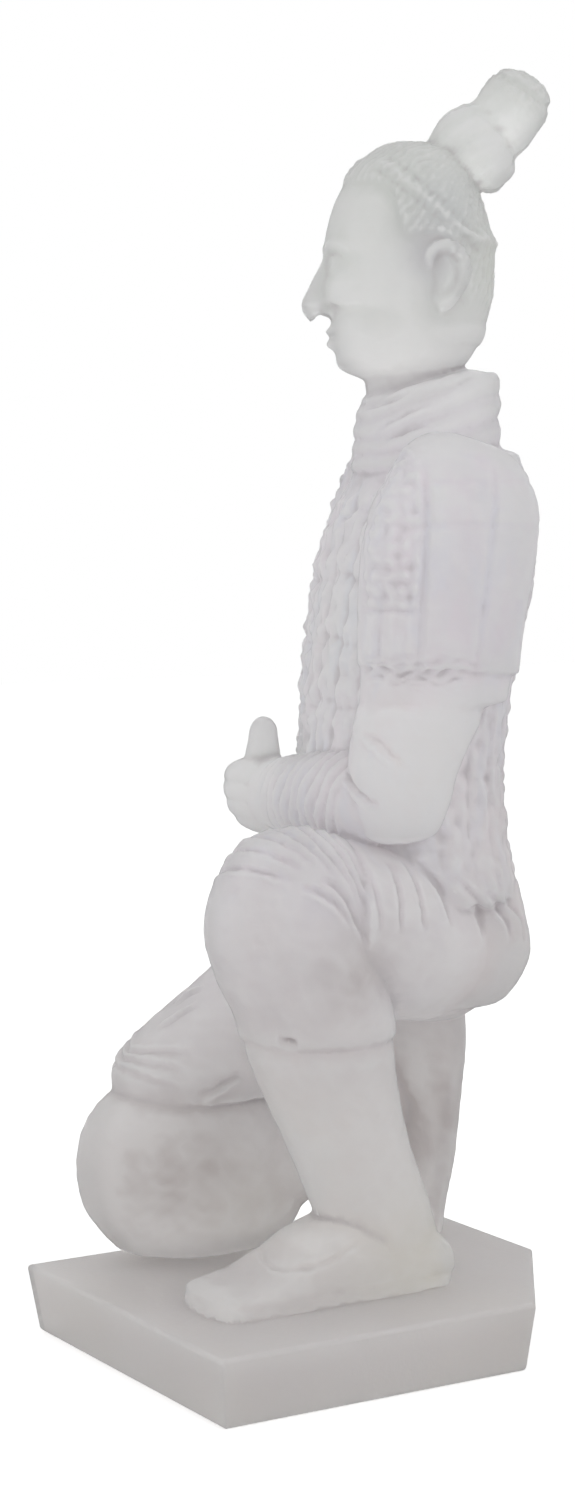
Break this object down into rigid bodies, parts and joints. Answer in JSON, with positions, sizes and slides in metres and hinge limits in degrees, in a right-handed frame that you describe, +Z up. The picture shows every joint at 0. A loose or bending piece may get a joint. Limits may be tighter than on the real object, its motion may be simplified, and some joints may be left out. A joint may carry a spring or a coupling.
{
  "type": "kneeling warrior figurine",
  "caption": "Frosted cast-glass figurine of a kneeling warrior in plate armour with a topknot, cast in one with its low plinth; stands on the plinth's flat underside.",
  "frame": {"origin": "centre of the plinth's underside, on the surface that the figurine stands on", "axes": "+Z up; the plinth's front faces -Y, and the figure's left, the side of its raised knee, is +X"},
  "size_m": [0.0661, 0.0778, 0.2029],
  "materials": {
    "frosted_glass": "frosted, acid-etched cast glass, near white with a slight grey tint"
  },
  "bodies": {
    "root": {"kneeling_warrior": "frosted_glass"}
  },
  "joints": []
}
